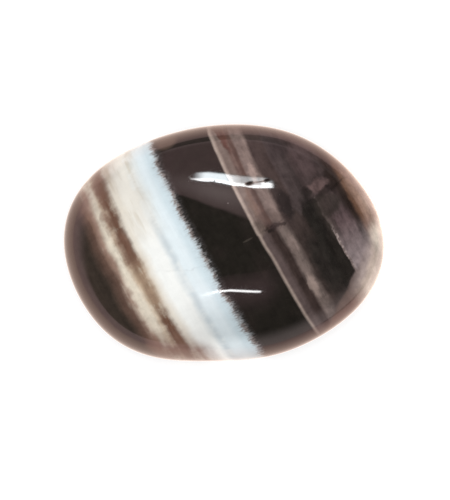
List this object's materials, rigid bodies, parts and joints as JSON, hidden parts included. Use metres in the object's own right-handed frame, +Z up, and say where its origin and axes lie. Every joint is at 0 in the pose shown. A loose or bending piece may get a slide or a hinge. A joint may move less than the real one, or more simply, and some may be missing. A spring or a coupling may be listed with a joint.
{
  "type": "banded agate cabochon",
  "caption": "Oval banded agate cabochon with a polished dome and a flat ground back, to lie on a surface or be set in a ring or pendant.",
  "frame": {"origin": "centre of the flat back, below the middle of the stone's outline", "axes": "+X along the stone's length, +Y across it, +Z up out of the polished dome"},
  "size_m": [0.025, 0.0184, 0.0066],
  "materials": {
    "banded_agate": "polished, black-brown chalcedony with white, cream and grey-brown bands"
  },
  "bodies": {
    "root": {"agate_stone": "banded_agate"}
  },
  "joints": []
}
